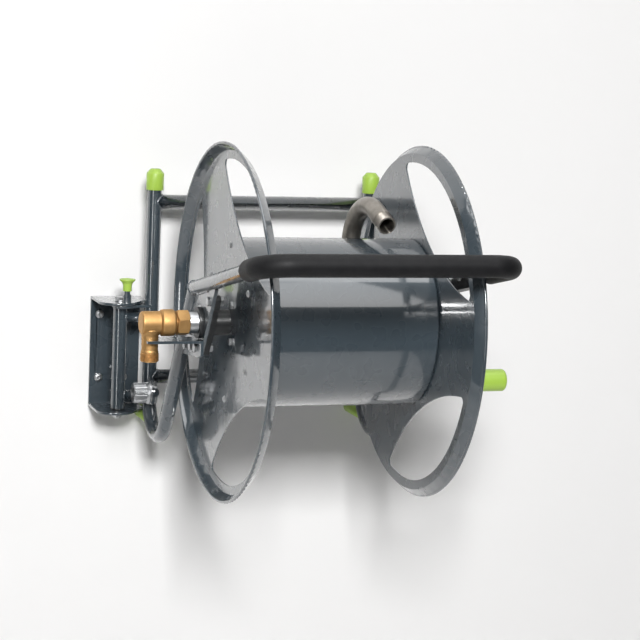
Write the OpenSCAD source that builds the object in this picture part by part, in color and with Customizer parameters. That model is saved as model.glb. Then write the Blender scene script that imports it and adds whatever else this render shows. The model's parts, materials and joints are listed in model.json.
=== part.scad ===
// Wall-mounted hose reel that swings out on a vertical pivot beside its drum.
// Origin: centre of the wall screw pattern, on the wall. X right, Y into the wall, Z up.

/* [Drum] */
// Radius of the side discs over the rolled rim
disc_r = 252; // [215:1:270]
// Width of the drum over both rims
drum_w = 300; // [220:1:330]
// How far each rim flares outwards from the flat web
rim_flare = 13.5; // [8:0.5:16]
// Thickness of the disc sheet
disc_t = 2; // [1.5:0.1:3]
// Outer radius of the drum shell that the hose winds on
shell_r = 119; // [108:1:122]
// Thickness of the shell sheet
shell_t = 2; // [1.5:0.1:3]
// Width of the ring left between a window and the rim
rim_ring = 24; // [18:1:40]
// Least width of web between the shell and a window
window_inset = 12; // [4:1:20]
// Radius of the curved inner side of a window
window_curve_r = 375; // [300:5:500]
// Radius of the rounded window corners
window_corner_r = 7; // [4:0.5:12]

/* [Axle and hubs] */
// Outer radius of the hollow axle
axle_r = 15; // [13:0.5:16]
// Radius of the water bore
bore_r = 10; // [7:0.5:11]
// Radial gap between the axle and its bearings
axle_gap = 0.05; // [0.02:0.01:0.09]
// Radius of a hub flange, which sits behind the disc
hub_flange_r = 46; // [44:1:60]
// Thickness of a hub flange
hub_t = 8; // [5:0.5:9]
// Radius of a hub boss
hub_boss_r = 18; // [17.5:0.5:20]

/* [Frame] */
// Outside diameter of the frame tube
tube_d = 21.5; // [18:0.5:24]
// Wall of the frame tube
tube_wall = 2; // [1:0.1:3]
// Distance from the drum's rim to the centreline of a side tube
side_gap = 23.5; // [22:0.5:40]
// Centreline radius of the bend at the foot of a side tube
foot_bend_r = 59; // [50:1:64]
// Slope of the oblique limb above the horizontal
limb_angle = 57; // [54:0.5:60]
// Slope of the handle arm above the horizontal
arm_angle = 12.2; // [8:0.1:18]
// Joint of arm and limb, behind the axle
knee_back = 40.5; // [36:0.5:48]
// Joint of arm and limb, above the axle
knee_up = 43; // [40:0.5:50]
// Length of the handle arms from the joint to the front bar
arm_len = 336; // [305:1:360]
// Centreline radius of the handle corners
handle_bend_r = 38; // [30:1:50]
// Top of the side tubes above the axle
post_top = 176; // [165:1:200]
// Upper crossbar above the axle
crossbar_up = 142; // [130:1:150]
// Lower crossbar below the axle
crossbar_down = 127; // [110:1:135]
// Outside diameter of the foam handle
foam_d = 30; // [28:0.5:34]
// Length of the green end caps over the tube
cap_h = 32; // [24:1:40]

/* [Wall bracket] */
// Distance of the axle from the wall
axle_off = 352; // [352:1:380]
// Distance of the pivot from the wall
pivot_off = 58.5; // [54:0.5:66]
// Distance from the pivot to the side tube
pivot_arm = 48.5; // [47:0.5:60]
// Height of the axle above the middle of the wall screws
axle_up = 87; // [78:1:94]
// Bracket sheet thickness
bracket_t = 4; // [3:0.5:4.5]
// Top of the bracket above the middle of the wall screws
bracket_up = 77; // [74:1:84]
// Bottom of the bracket below the middle of the wall screws
bracket_down = 94.5; // [90:0.5:100]
// Left side of the bracket from the pivot
bracket_left = 33.5; // [32:0.5:36]
// Right side of the bracket from the pivot
bracket_right = 44; // [42:0.5:45]
// Radius of the round front of a bracket flange
flange_r = 29; // [27:0.5:30]
// Wall screw spacing along the wall
screw_dx = 39; // [36:1:50]
// Wall screw spacing up the wall
screw_dz = 99; // [90:1:104]
// Radius of a wall screw's shank
screw_r = 3; // [2.5:0.1:3.5]
// Length of a wall screw behind the bracket
screw_len = 45; // [30:1:70]
// Outside radius of the pivot tube
pivot_tube_r = 10.5; // [9:0.1:11]
// Radius of the pivot bolt
pivot_r = 5; // [4:0.25:5.5]
// Radial gap between the pivot bolt and its bushes
pivot_gap = 0.05; // [0.02:0.01:0.09]

/* [Locking pin] */
// Distance of the locking pin from the pivot
pin_arm = 18; // [17.75:0.25:19]
// Direction of the locking pin, degrees from the wall line
pin_dir = -70; // [-75:1:-62]
// Radius of the locking pin
pin_r = 3; // [2:0.25:3.2]
// Travel of the locking pin
pin_travel = 5.5; // [5.3:0.1:6.5]
// How far the reel swings away from the wall
swing = 90; // [60:5:90]

/* [Fittings] */
// Outside radius of the 3/4 inch pipe
pipe_r = 13.45; // [12:0.05:14]
// Centreline radius of the outlet pipe's bend
pipe_bend_r = 64; // [55:1:70]
// Downward slope of the outlet's open end
pipe_end_angle = 22; // [15:1:30]
// Outside radius of the inlet's pipe thread
inlet_r = 13.2; // [11:0.1:15]
// Length of the inlet's pipe thread
inlet_len = 13; // [10:0.5:16]
// Radius of the crank grip
grip_r = 16; // [13:0.5:17]
// Length of the crank grip
grip_len = 66; // [55:1:80]
// Distance of the crank grip from the axle
crank_r = 94; // [80:1:110]
// Thickness of the crank arm
crank_t = 6; // [4:0.5:8]
// Radial gap between the grip and its spindle
grip_gap = 0.05; // [0.02:0.01:0.09]

/* [Hidden] */
$fn = 48;
eps = 0.01;
big = 400;
clear = 0.3;

// Drum
web_x = drum_w/2 - rim_flare;
web_in = web_x - disc_t;
rim_bead_r = 2.4;
window_r = disc_r - rim_ring;
window_near = shell_r + window_inset;
window_mid = window_near + window_curve_r;
window_first = 58;
window_count = 3;
crease_r = disc_r - 11;
web_hole_r = hub_boss_r;
rivet_r = 5;
rivet_ring = shell_r - 10;
rivet_count = 6;
rivet_first = 29;
shell_lip = 18;
shell_bend = 4;

// Axle, hubs and bearings
tube_r = tube_d/2;
tube_x = drum_w/2 + side_gap;
plate_t = 4;
plate_in = tube_x - plate_t/2;
plate_out = tube_x + plate_t/2;
bearing_in = plate_in - 10;
bearing_side = 76;
bearing_top = 30;
bearing_drop = 46;
bearing_corner = 10;
bearing_ear = [-44, 35];
bearing_ear_r = 9;
bearing_bolts_at = [bearing_ear, [30, 4], [4, -36], [30, -37]];
torque_bolts_at = [[4, -36], [30, -37], [58, -40]];
bearing_ring_r = 22;
bearing_ring_t = 6;
boss_end = bearing_in - clear;
hub_bolts_at = [[22, 27], [22, -24], [-34, 1]];
hub_bolt_r = 3;
hub_head_r = 5.5;
hub_head_h = 4;
m8_r = 4;
bolt_head_r = 6.5;
nut_h = 5;
nut_gap = 12;
nut_grip = 9.5;
axle_end = plate_out + bearing_ring_t + nut_gap + nut_grip;
stub_end = plate_out + bearing_ring_t + 8;
stub_in = 46;
ring_t = 1.6;

// Frame
rear_y = axle_off - pivot_off;
v_drop = (rear_y - knee_back)*tan(limb_angle);
v_z = knee_up - v_drop;
v_half = (90 - limb_angle)/2;
tangent = foot_bend_r/tan(v_half);
bend_c = [rear_y - foot_bend_r, v_z + tangent];
limb_len = norm([rear_y - knee_back, v_drop]) - tangent;
limb_end = [knee_back + limb_len*cos(limb_angle), knee_up - limb_len*sin(limb_angle)];
mitre_angle = ((180 - arm_angle) + (180 - limb_angle))/2;
foam_left = 262;
foam_right = 232;
cap_over = 16;
cap_r = tube_r + 2.6;
buffer_z = -190;
buffer_r = 9.5;
buffer_from = bend_c[0] + sqrt(pow(foot_bend_r, 2) - pow(buffer_z - bend_c[1], 2));

// Bracket and pivot
pivot_x = -tube_x - pivot_arm;
top_in = bracket_up - bracket_t;
bottom_in = -bracket_down + bracket_t;
index_t = 4;
index_r = 25;
index_hub_r = 13;
index_top = top_in - 0.8;
pivot_tube_top = index_top - index_t;
pivot_tube_bottom = bottom_in + 3;
bush_r = pivot_tube_r - 1.5;
bush_len = 18;
bush_collar = 2;
head_r = 8;
head_h = 5;
washer_t = 1.6;
tail = 9;
stub_r = 7.5;
stub_up = 52;
stub_down = -68;
pin_x = pin_arm*cos(pin_dir);
pin_y = pin_arm*sin(pin_dir);
pin_gap = 0.05;
sleeve_h = 12;
sleeve_r = 6.4;
shank_r = 4.6;
knob_r = 12;
knob_h = 18.5;
knob_foot_r = 6.8;
pin_rest = 1;
screw_head_r = 6.5;
screw_head_h = 4.5;
screw_gap = 1.2;

// Inlet
nut_right = -axle_end + nut_grip;
nut_left = nut_right - 17.5;
elbow_right = nut_left - 1.5;
elbow_x = elbow_right - 34.5;
elbow_body_r = 16.2;
elbow_left = elbow_right - 48.5;
elbow_collar_r = 18.6;
elbow_leg_r = 11.8;
elbow_thread_top = -41;
collar_left = elbow_right - 21.5;
nut_r = 18.5;
nut_turn = 73;
nut_bore_gap = 0.05;
spigot_r = 12.6;
nipple_r = 15.4;
nipple_z = -147.5;
nipple_len = 27;
nipple_flutes = 12;
holder_r = 18.5;
holder_t = 8;
holder_neck_r = 7;
shelf_z = -27;
shelf_t = 4;
shelf_w = 40;
shelf_leg = 88;
shelf_drop = 45;

// Outlet
outlet_x = 65;
outlet_y = 70;
outlet_bend_z = 100.5;
outlet_heading = 3;
outlet_straight = 45;
pipe_bore = pipe_r - 2.6;
thread_len = 18;
thread_depth = 0.9;
socket_r = pipe_r + 4;
socket_top = 22;
socket_floor = 5;

// Crank
crank_dir = -56.5;
crank_y = -crank_r*cos(crank_dir);
crank_z = crank_r*sin(crank_dir);
crank_face = stub_end + crank_t;
crank_neck_r = 8;
crank_hub_r = 19;
crank_tip_r = 13;
crank_nut_r = 13.9;
crank_nut_h = 8;
spindle_r = 5;
spindle_collar = 3;
grip_from = crank_face + spindle_collar + clear;
spindle_end = grip_from + grip_len - 2;
lip_from = [-68, 54];
lip_to = [-2, -46];
lip_angle = atan2(lip_to[1] - lip_from[1], lip_to[0] - lip_from[0]);
lip_w = 5;
lip_t = 3;

// Brake on the right arm
brake_out = 21;
brake_h = 34;
brake_from = 115;
brake_len = 100;
brake_pitch = 36;
brake_bolt_r = 3;

// Moves children from the axle's frame to the origin on the wall
module reel() translate([-pivot_x, -axle_off, axle_up]) children();
// Lays a drawing in X and Y over the Y and Z of the part, with its Z along X
module yz() rotate([90, 0, 90]) children();
module both_sides() {
    children();
    mirror([1, 0, 0]) children();
}
// A round bar or, with a hole, a tube from one point to another in the drawing plane
module bar(from, to, r, hole = 0) {
    d = to - from;
    translate([from[0], from[1], 0]) rotate([0, 0, atan2(d[1], d[0])])
        rotate([0, 90, 0]) linear_extrude(height = norm(d)) ring(r, hole);
}
// A bend in the drawing plane around a centre
module bend(centre, bend_r, first, turn, r, hole = 0) {
    translate([centre[0], centre[1], 0]) rotate([0, 0, first])
        rotate_extrude(angle = turn) translate([bend_r, 0]) ring(r, hole);
}
module ring(r, hole) difference() {
    circle(r = r);
    if (hole > 0) circle(r = hole);
}
// A bend around the origin that starts on X, with a straight run before and after it
module hook(bend_r, turn, before, after, r, hole = 0) {
    translate([bend_r, 0, 0]) rotate([90, 0, 0]) linear_extrude(height = before) ring(r, hole);
    rotate_extrude(angle = turn) translate([bend_r, 0]) ring(r, hole);
    rotate([0, 0, turn]) translate([bend_r, 0, 0]) rotate([-90, 0, 0])
        linear_extrude(height = after) ring(r, hole);
}
module x_cylinder(x0, x1, r) translate([x0, 0, 0]) rotate([0, 90, 0]) cylinder(h = x1 - x0, r = r);
module round_box(len, high, thick, corner) {
    linear_extrude(height = thick) union() {
        square([len - 2*corner, high], center = true);
        square([len, high - 2*corner], center = true);
        for (sx = [-1, 1], sy = [-1, 1])
            translate([sx*(len/2 - corner), sy*(high/2 - corner)]) circle(r = corner);
    }
}

// Window between two circles: the rim side and the flatter hub side
function lens_corner(c) =
    let (u = (pow(window_r - c, 2) - pow(window_curve_r - c, 2) + window_mid*window_mid)/(2*window_mid))
    [u, sqrt(pow(window_r - c, 2) - u*u)];
module window_shape() {
    c = window_corner_r;
    p = lens_corner(c);
    tip = lens_corner(0);
    on_rim = p*window_r/(window_r - c);
    on_curve = [window_mid, 0] + (p - [window_mid, 0])*window_curve_r/(window_curve_r - c);
    along = on_rim - on_curve;
    far = tip*1.2;
    difference() {
        intersection() {
            circle(r = window_r);
            translate([window_mid, 0]) circle(r = window_curve_r);
        }
        for (s = [-1, 1]) scale([1, s]) polygon([on_curve - along, on_rim + along, far]);
    }
    for (s = [-1, 1]) translate([p[0], s*p[1]]) circle(r = c);
}

// A side disc around Z, its inner web face at z = 0 and its rim flaring to +Z
module disc_body() {
    flare_top = rim_flare + disc_t - rim_bead_r;
    difference() {
        rotate_extrude() union() {
            polygon([[web_hole_r, 0], [crease_r, 0], [disc_r - rim_bead_r, flare_top - rim_bead_r],
                     [disc_r - 2*rim_bead_r, flare_top], [crease_r - disc_t/2, disc_t], [web_hole_r, disc_t]]);
            translate([disc_r - rim_bead_r, flare_top]) circle(r = rim_bead_r);
        }
        for (k = [0:window_count - 1]) rotate([0, 0, window_first + k*360/window_count])
            translate([0, 0, -1]) linear_extrude(height = disc_t + 2) window_shape();
        for (k = [0:rivet_count - 1]) rotate([0, 0, rivet_first + k*360/rivet_count])
            translate([rivet_ring, 0, -1]) cylinder(h = disc_t + 2, r = 2.5);
        for (p = hub_bolts_at) translate([p[0], p[1], -1]) cylinder(h = disc_t + 2, r = hub_bolt_r);
    }
}
// Angles on a disc count from forwards to up, so its X looks forwards
module on_right(x) translate([x, 0, 0]) rotate([90, 0, 90]) mirror([1, 0, 0]) children();

module disc_left() color("#454d54") reel() mirror([1, 0, 0]) on_right(web_in) disc_body();
module disc_right() color("#454d54") reel() on_right(web_in) disc_body();

module drum_shell() color("#4b535a") reel() difference() {
    rotate([0, 90, 0]) rotate_extrude() union() {
        translate([shell_r - shell_t, shell_bend - web_in]) square([shell_t, 2*(web_in - shell_bend)]);
        for (s = [-1, 1]) scale([1, s]) translate([shell_r - shell_bend, web_in - shell_bend]) {
            intersection() {
                ring(shell_bend, shell_bend - shell_t);
                square(shell_bend);
            }
            translate([shell_bend - shell_lip, shell_bend - shell_t]) square([shell_lip - shell_bend, shell_t]);
        }
    }
    translate([outlet_x, outlet_y, 60]) cylinder(h = 70, r = pipe_r + 1);
    both_sides() on_right(web_in - shell_t) for (k = [0:rivet_count - 1])
        rotate([0, 0, rivet_first + k*360/rivet_count]) translate([rivet_ring, 0, -1])
            cylinder(h = shell_t + 2, r = 2.5);
}

module disc_rivets() color("#c9ccd0") reel() both_sides() on_right(web_x)
    for (k = [0:rivet_count - 1]) rotate([0, 0, rivet_first + k*360/rivet_count])
        translate([rivet_ring, 0, 0]) {
            translate([0, 0, -disc_t - shell_t]) cylinder(h = disc_t + shell_t + 1, r = 2.5);
            intersection() {
                translate([0, 0, -2.6]) sphere(r = 5.6);
                cylinder(h = 4, r = rivet_r);
            }
        }

// A hub around Z: its flange lies behind the web and its boss reaches through to the bearing
module hub_body() difference() {
    translate([0, 0, -hub_t]) union() {
        cylinder(h = hub_t, r = hub_flange_r);
        cylinder(h = hub_t + boss_end - web_in, r = hub_boss_r);
    }
    translate([0, 0, -hub_t - 1]) cylinder(h = boss_end, r = axle_r);
    for (p = hub_bolts_at) translate([p[0], p[1], -hub_t - 1]) cylinder(h = hub_t + 2, r = hub_bolt_r);
}
module hub_left() color("#1d1f21") reel() mirror([1, 0, 0]) on_right(web_in) hub_body();
module hub_right() color("#1d1f21") reel() on_right(web_in) hub_body();

module hub_bolts() color("#b9bcc0") reel() both_sides() on_right(web_x)
    for (p = hub_bolts_at) translate([p[0], p[1], 0]) {
        translate([0, 0, -hub_t - disc_t]) cylinder(h = hub_t + disc_t + 1, r = hub_bolt_r);
        cylinder(h = hub_head_h, r = hub_head_r, $fn = 6);
        translate([0, 0, -hub_t - disc_t - hub_head_h]) cylinder(h = hub_head_h, r = hub_head_r, $fn = 6);
    }

module hollow_axle() color("#c4c6c8") reel() difference() {
    x_cylinder(-axle_end, outlet_x + 15, axle_r);
    x_cylinder(-axle_end - 1, outlet_x, bore_r);
    translate([outlet_x, 0, 0]) rotate([-90, 0, 0]) cylinder(h = axle_r + 1, r = bore_r);
    translate([outlet_x, 0, 0]) sphere(r = bore_r);
}
module stub_axle() color("#c4c6c8") reel() difference() {
    union() {
        x_cylinder(web_in - stub_in, stub_end, axle_r);
        x_cylinder(stub_end - 1, crank_face + crank_nut_h + 2, crank_neck_r);
    }
    difference() {
        x_cylinder(stub_end - 5, stub_end - 5 + ring_t, axle_r + 1);
        x_cylinder(stub_end - 6, stub_end, axle_r - 1);
    }
}
module retaining_ring() color("#8d9094") reel() translate([stub_end - 5, 0, 0]) rotate([0, 90, 0])
    linear_extrude(height = ring_t) difference() {
        circle(r = axle_r + 3);
        circle(r = axle_r - 1);
        rotate(50) translate([axle_r, 0]) square([12, 9], center = true);
    }

module union_nut() color("#c79a5d") reel() difference() {
    translate([nut_left, 0, 0]) rotate([0, 90, 0]) rotate([0, 0, nut_turn])
        cylinder(h = nut_right - nut_left, r = nut_r, $fn = 6);
    x_cylinder(-axle_end, nut_right + 1, axle_r);
    x_cylinder(nut_left - 1, -axle_end + eps, spigot_r + nut_bore_gap);
}

module inner_elbow() color("#8f877d") reel() difference() {
    union() {
        x_cylinder(outlet_x - 22, outlet_x + 20, axle_r + 5);
        translate([outlet_x, 0, 0]) rotate([-90, 0, 0]) cylinder(h = outlet_y, r = socket_r);
        translate([outlet_x, outlet_y, 0]) sphere(r = socket_r);
        translate([outlet_x, outlet_y, 0]) cylinder(h = socket_top, r = socket_r);
    }
    x_cylinder(outlet_x - 23, outlet_x + 15, axle_r);
    translate([outlet_x, 0, 0]) rotate([-90, 0, 0]) cylinder(h = outlet_y, r = bore_r);
    translate([outlet_x, outlet_y, 0]) sphere(r = bore_r);
    translate([outlet_x, outlet_y, 0]) cylinder(h = socket_top + 1, r = bore_r);
    translate([outlet_x, outlet_y, socket_floor]) cylinder(h = socket_top, r = pipe_r);
}

// The outlet pipe in a drawing plane whose X runs forwards and Y runs up
module outlet_path() translate([pipe_bend_r, outlet_bend_z, 0]) rotate([0, 0, 90 - pipe_end_angle]) difference() {
    hook(pipe_bend_r, 90 + pipe_end_angle, outlet_straight, outlet_bend_z - socket_floor, pipe_r, pipe_bore);
    translate([pipe_bend_r, thread_len - outlet_straight, 0]) rotate([90, 0, 0])
        linear_extrude(height = thread_len + 1) ring(pipe_r + 2, pipe_r - thread_depth/2);
}
module gooseneck() color("#a49c92") reel() translate([outlet_x, outlet_y, 0])
    rotate([0, 0, outlet_heading - 90]) rotate([90, 0, 0]) outlet_path();

// The crank's flat arm sits on the neck of the stub axle, outside the frame
module crank_arm() color("#59626a") reel() difference() {
    translate([stub_end, 0, 0]) rotate([0, 90, 0]) rotate([0, 0, 90]) mirror([1, 0, 0]) rotate([0, 0, crank_dir])
        linear_extrude(height = crank_t) difference() {
            union() {
                circle(r = crank_hub_r);
                translate([crank_r, 0]) circle(r = crank_tip_r);
                translate([0, -crank_tip_r]) square([crank_r, 2*crank_tip_r]);
            }
            circle(r = crank_neck_r);
            translate([crank_r, 0]) circle(r = spindle_r);
        }
}
module crank_spindle() color("#b9bcc0") reel() translate([0, crank_y, crank_z]) difference() {
    union() {
        x_cylinder(stub_end, spindle_end, spindle_r);
        x_cylinder(crank_face, crank_face + spindle_collar, 12);
        x_cylinder(spindle_end - 6, spindle_end, 8.5);
    }
    translate([spindle_end - 3, 0, 0]) rotate([0, 90, 0]) cylinder(h = 4, r = 3.5, $fn = 6);
}
module crank_nut() color("#b9bcc0") reel() translate([crank_face, 0, 0]) rotate([0, 90, 0])
    difference() {
        cylinder(h = crank_nut_h, r = crank_nut_r, $fn = 6);
        translate([0, 0, -1]) cylinder(h = crank_nut_h + 2, r = crank_neck_r);
    }
module crank_grip() color("#8ccf35") reel() translate([grip_from, crank_y, crank_z]) rotate([0, 90, 0])
    difference() {
        rotate_extrude() difference() {
            union() {
                square([grip_r - 5, grip_len]);
                translate([0, 2]) square([grip_r, grip_len - 2 - 5]);
                square([grip_r - 2, 3]);
                translate([grip_r - 2, 2]) circle(r = 2);
                translate([grip_r - 5, grip_len - 5]) circle(r = 5);
            }
            translate([-big, -big/2]) square([big, big]);
        }
        translate([0, 0, -1]) cylinder(h = grip_len + 2, r = spindle_r + grip_gap);
        translate([0, 0, spindle_end - 6 - clear - grip_from]) cylinder(h = 40, r = 9);
    }

// Side tube in the drawing plane: post, foot bend and oblique limb up to the mitre
module side_path(hole = 0) difference() {
    translate([bend_c[0], bend_c[1], 0]) rotate([0, 0, -90 - limb_angle])
        hook(foot_bend_r, 90 + limb_angle, limb_len + tube_d, post_top - bend_c[1], tube_r, hole);
    translate([knee_back, knee_up, 0]) rotate([0, 0, mitre_angle]) translate([0, -big/2, -big/2])
        cube([big, big, big]);
}
module side_tube() yz() side_path(tube_r - tube_wall);
module side_tube_left() color("#40484f") reel() translate([-tube_x, 0, 0]) side_tube();
module side_tube_right() color("#40484f") reel() translate([tube_x, 0, 0]) side_tube();

module crossbar(z) difference() {
    translate([0, rear_y, z]) difference() {
        x_cylinder(-tube_x, tube_x, tube_r);
        x_cylinder(-tube_x - 1, tube_x + 1, tube_r - tube_wall);
    }
    both_sides() translate([tube_x, rear_y, z - 30]) cylinder(h = 60, r = tube_r);
}
module upper_crossbar() color("#40484f") reel() crossbar(crossbar_up);
module lower_crossbar() color("#40484f") reel() crossbar(-crossbar_down);

module tube_caps() color("#8ccf35") reel() both_sides() translate([tube_x, rear_y, post_top - cap_over])
    difference() {
        rotate_extrude() union() {
            square([cap_r, cap_h - 7]);
            square([cap_r - 6, cap_h]);
            polygon([[0, cap_h - 8], [cap_r, cap_h - 8], [cap_r, cap_h - 7], [cap_r - 6, cap_h], [0, cap_h]]);
        }
        translate([0, 0, -1]) cylinder(h = cap_over + 1, r = tube_r);
    }

module wall_buffers() color("#8ccf35") reel() both_sides() difference() {
    translate([tube_x, 0, buffer_z]) rotate([-90, 0, 0]) rotate_extrude() union() {
        translate([0, buffer_from]) square([buffer_r, axle_off - buffer_from - 4]);
        translate([0, buffer_from]) square([buffer_r - 4, axle_off - buffer_from]);
        translate([buffer_r - 4, axle_off - 4]) circle(r = 4);
    }
    translate([tube_x, 0, 0]) yz() side_path();
}

// Handle bow in the plane of its arms: X across, Y back, turned up at the front
module bow_path(r, left, right) {
    e = [tube_x, arm_len, handle_bend_r];
    bar([-e[0], -left], [-e[0], -e[1] + e[2]], r);
    bend([-e[0] + e[2], -e[1] + e[2]], e[2], 180, 90, r);
    bar([-e[0] + e[2], -e[1]], [e[0] - e[2], -e[1]], r);
    bend([e[0] - e[2], -e[1] + e[2]], e[2], 270, 90, r);
    bar([e[0], -e[1] + e[2]], [e[0], -right], r);
}
module on_arms() translate([0, knee_back, knee_up]) rotate([-arm_angle, 0, 0]) children();
module handle_bow() color("#40484f") reel() difference() {
    on_arms() difference() {
        bow_path(tube_r, -30, -30);
        bow_path(tube_r - tube_wall, -31, -31);
    }
    on_right_arm() brake_bolt_places() x_cylinder(-tube_r - 1, 0, brake_bolt_r);
    yz() translate([knee_back, knee_up, 0]) rotate([0, 0, mitre_angle]) translate([-big, -big/2, -big])
        cube([big, big, 2*big]);
}
module foam_grip() color("#1b1b1c") reel() on_arms() difference() {
    bow_path(foam_d/2, foam_left, foam_right);
    bow_path(tube_r, foam_left - 1, foam_right - 1);
}

// Gusset that carries a bearing, in the corner of the limb and the arm
module plate_outline() difference() {
    polygon([[knee_back, knee_up], lip_from + [6, 8], lip_from, lip_to, lip_to + [10, -5], [92, -58], limb_end]);
    circle(r = axle_r + 2.5);
    for (p = bearing_bolts_at) translate(p) circle(r = m8_r);
}
module at_lip() translate([lip_from[0], lip_from[1], 0]) rotate([0, 0, lip_angle]) children();
module plate_lip() at_lip() translate([0, 0, plate_t/2 - lip_w]) cube([norm(lip_to - lip_from), lip_t, lip_w]);
module axle_plate() translate([tube_x, 0, 0]) difference() {
    yz() union() {
        translate([0, 0, -plate_t/2]) linear_extrude(height = plate_t) plate_outline();
        plate_lip();
    }
    yz() side_path();
    on_arms() translate([0, tube_d, 0]) rotate([90, 0, 0]) cylinder(h = arm_len, r = tube_r);
}
module axle_plate_left() color("#59626a") reel() mirror([1, 0, 0]) difference() {
    axle_plate();
    translate([plate_in - 1, 0, 0]) yz() torque_holes(plate_t + 2);
}
module axle_plate_right() color("#59626a") reel() axle_plate();

module bearing() difference() {
    union() {
        translate([bearing_in, 0, 0]) yz() {
            translate([0, (bearing_top - bearing_drop)/2, 0])
                round_box(bearing_side, bearing_top + bearing_drop, plate_in - bearing_in, bearing_corner);
            linear_extrude(height = plate_in - bearing_in) bearing_ear_outline();
        }
        x_cylinder(bearing_in, plate_out + bearing_ring_t, axle_r + 2.5);
        x_cylinder(plate_out, plate_out + bearing_ring_t, bearing_ring_r);
    }
    x_cylinder(bearing_in - 1, plate_out + bearing_ring_t + 1, axle_r + axle_gap);
    for (p = bearing_bolts_at) translate([0, p[0], p[1]]) x_cylinder(bearing_in - 1, plate_in + 1, m8_r);
    plate_lip_room();
}
// The ear that carries the bearing's front bolt, high up beside the lip
module bearing_ear_outline() {
    translate(bearing_ear) circle(r = bearing_ear_r);
    rotate(atan2(bearing_ear[1], bearing_ear[0])) translate([0, -bearing_ear_r])
        square([norm(bearing_ear), 2*bearing_ear_r]);
}
// The bearing's flange is cut back where the folded lip of the plate runs
module plate_lip_room() translate([tube_x, 0, 0]) yz() at_lip()
    translate([-lip_w, -big/2, bearing_in - tube_x - 1])
        cube([big/2, big/2 + lip_t + clear, plate_out + bearing_ring_t - bearing_in + 2]);
module bearing_left() color("#1d1f21") reel() mirror([1, 0, 0]) bearing();
module bearing_right() color("#1d1f21") reel() bearing();

// A bolt through plate and bearing along X, its head outside and its nut inside
module through_bolt(x_in, x_out) {
    x_cylinder(x_in, x_out, m8_r);
    translate([x_out, 0, 0]) rotate([0, 90, 0]) cylinder(h = 4, r = bolt_head_r, $fn = 6);
    translate([x_in - nut_h, 0, 0]) rotate([0, 90, 0]) cylinder(h = nut_h, r = bolt_head_r, $fn = 6);
}
module bearing_bolts() color("#b9bcc0") reel() {
    for (p = bearing_bolts_at) translate([0, p[0], p[1]]) through_bolt(bearing_in, plate_out);
    mirror([1, 0, 0]) for (p = bearing_bolts_at) if (p[1] > 0)
        translate([0, p[0], p[1]]) through_bolt(bearing_in, plate_out);
}

// Fork that stops the inlet elbow from turning
module torque_holes(h) for (p = torque_bolts_at) translate([p[0], p[1], 0]) cylinder(h = h, r = m8_r);
module torque_bracket() color("#59626a") reel() difference() {
    union() {
        translate([elbow_x - 8, -shelf_w/2, shelf_z]) cube([-elbow_x + 8 - plate_out, shelf_w, shelf_t]);
        translate([-plate_out - shelf_t, -shelf_w/2, -shelf_drop])
            cube([shelf_t, shelf_leg, shelf_drop + shelf_z + shelf_t]);
    }
    translate([elbow_x, 0, shelf_z - 1]) cylinder(h = shelf_t + 2, r = elbow_leg_r + clear);
    translate([elbow_x - 20, -elbow_leg_r - clear, shelf_z - 1])
        cube([20, 2*(elbow_leg_r + clear), shelf_t + 2]);
    translate([-plate_out - shelf_t - 1, 0, 0]) yz() torque_holes(shelf_t + 2);
}
module torque_bolts() color("#b9bcc0") reel() mirror([1, 0, 0]) for (p = torque_bolts_at)
    translate([0, p[0], p[1]]) through_bolt(p[0] < bearing_side/2 ? bearing_in : plate_in, plate_out + shelf_t);

module inlet_elbow() color("#c79a5d") reel() difference() {
    union() {
        x_cylinder(elbow_left + 2, collar_left, elbow_body_r);
        x_cylinder(elbow_left, elbow_left + 4, elbow_body_r - 2);
        translate([elbow_left + 2, 0, 0]) rotate([0, 90, 0]) rotate_extrude() translate([elbow_body_r - 2, 0]) circle(r = 2);
        x_cylinder(collar_left, -axle_end - 0.5, spigot_r);
        translate([elbow_x, 0, elbow_thread_top]) cylinder(h = -elbow_thread_top, r = elbow_leg_r);
        translate([elbow_x, 0, elbow_thread_top - inlet_len]) cylinder(h = inlet_len, r = inlet_r);
    }
    x_cylinder(elbow_x, -axle_end + 1, bore_r - 1);
    translate([elbow_x, 0, elbow_thread_top - inlet_len - 1]) cylinder(h = inlet_len - elbow_thread_top + 1, r = bore_r - 1);
    translate([elbow_x, 0, 0]) sphere(r = bore_r - 1);
}
module inlet_collar() color("#c79a5d") reel() difference() {
    translate([collar_left, 0, 0]) rotate([0, 90, 0]) rotate_extrude()
        polygon([[spigot_r, 0], [elbow_body_r, 0], [elbow_collar_r, 2.5], [elbow_collar_r, 18],
                 [elbow_collar_r - 2, elbow_right - collar_left], [spigot_r, elbow_right - collar_left]]);
}

// Plug-in nipple that parks the hose coupling, beside the foot of the left tube
nipple_at = [-tube_x, rear_y - tube_r - nipple_r, nipple_z];
module at_nipple() translate(nipple_at) children();
module parking_nipple() color("#b7babd") reel() at_nipple() difference() {
    union() {
        translate([-nipple_len - 5, 0, 0]) rotate([0, 90, 0]) rotate_extrude()
            polygon([[0, 0], [nipple_r - 1.5, 0], [nipple_r, 2], [nipple_r, nipple_len - 7],
                     [nipple_r + 2, nipple_len - 3], [nipple_r + 2, nipple_len], [0, nipple_len]]);
    }
    for (k = [0:nipple_flutes - 1]) rotate([k*360/nipple_flutes, 0, 0])
        translate([0, 0, nipple_r + 1]) x_cylinder(-nipple_len - 6, -12, 2.2);
    x_cylinder(-nipple_len - 6, -12, 9);
}
module nipple_holder() color("#40484f") reel() difference() {
    union() {
        at_nipple() x_cylinder(-5, -5 + holder_t, holder_r);
        at_nipple() translate([holder_neck_r - 4, 0, 0]) rotate([-90, 0, 0])
            cylinder(h = nipple_r + tube_r, r = holder_neck_r);
    }
    translate([-tube_x, 0, 0]) yz() side_path();
}

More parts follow.
